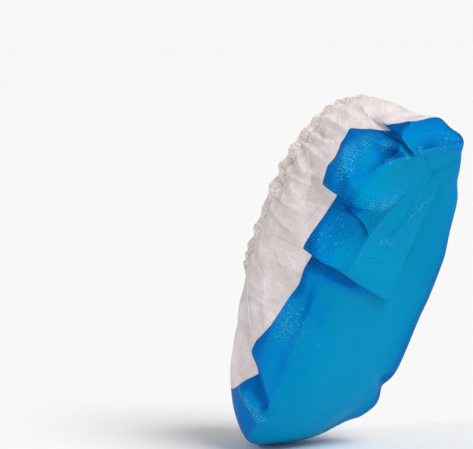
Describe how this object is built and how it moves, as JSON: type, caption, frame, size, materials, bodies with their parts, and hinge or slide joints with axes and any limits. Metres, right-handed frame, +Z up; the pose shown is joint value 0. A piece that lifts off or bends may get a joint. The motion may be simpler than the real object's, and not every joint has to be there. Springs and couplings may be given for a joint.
{
  "type": "disposable overshoe (shoe cover)",
  "caption": "Disposable overshoe in its worn form, on tiptoe: embossed blue film sole folded into pleats, white nonwoven upper and gathered elastic ankle hem.",
  "frame": {"origin": "centre of the ankle opening, where the foot goes in", "axes": "+Z up, +X towards the heel and the side that the sole faces, +Y across the foot to its far side; the foot stands on its toes, pitched 61 degrees"},
  "size_m": [0.2196, 0.1227, 0.2751],
  "materials": {
    "film": "satin",
    "nonwoven": "matte",
    "elastic": "matte"
  },
  "bodies": {
    "root": {"elastic_hem": "elastic", "upper_fabric": "nonwoven", "sole_film": "film"}
  },
  "joints": []
}
